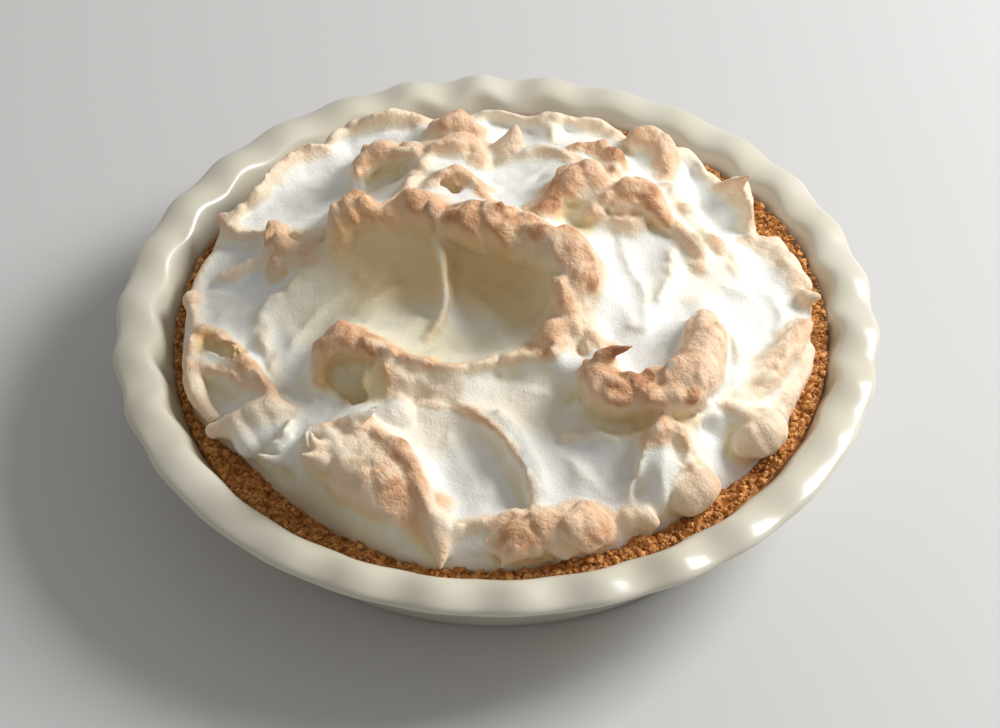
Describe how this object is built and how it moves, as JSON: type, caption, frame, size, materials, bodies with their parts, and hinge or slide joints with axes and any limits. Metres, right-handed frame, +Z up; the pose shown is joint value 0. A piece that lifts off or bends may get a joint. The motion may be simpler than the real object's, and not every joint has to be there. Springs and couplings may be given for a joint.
{
  "type": "lemon meringue pie in its dish",
  "caption": "Round fluted ceramic pie dish filled with a cracker-crumb pie and piled with swirled, browned meringue.",
  "frame": {"origin": "centre of the foot's lowest plane, under the middle of the dish", "axes": "+Z up out of the dish, -Y towards the side that is seen from the front, +X to its right"},
  "size_m": [0.2708, 0.2708, 0.0903],
  "materials": {
    "glaze": "cream gloss glaze",
    "crumb": "rough baked cracker crumbs",
    "meringue": "soft satin foam with browned crests"
  },
  "bodies": {
    "root": {"pie_dish": "glaze", "crumb_crust": "crumb", "meringue": "meringue"}
  },
  "joints": []
}
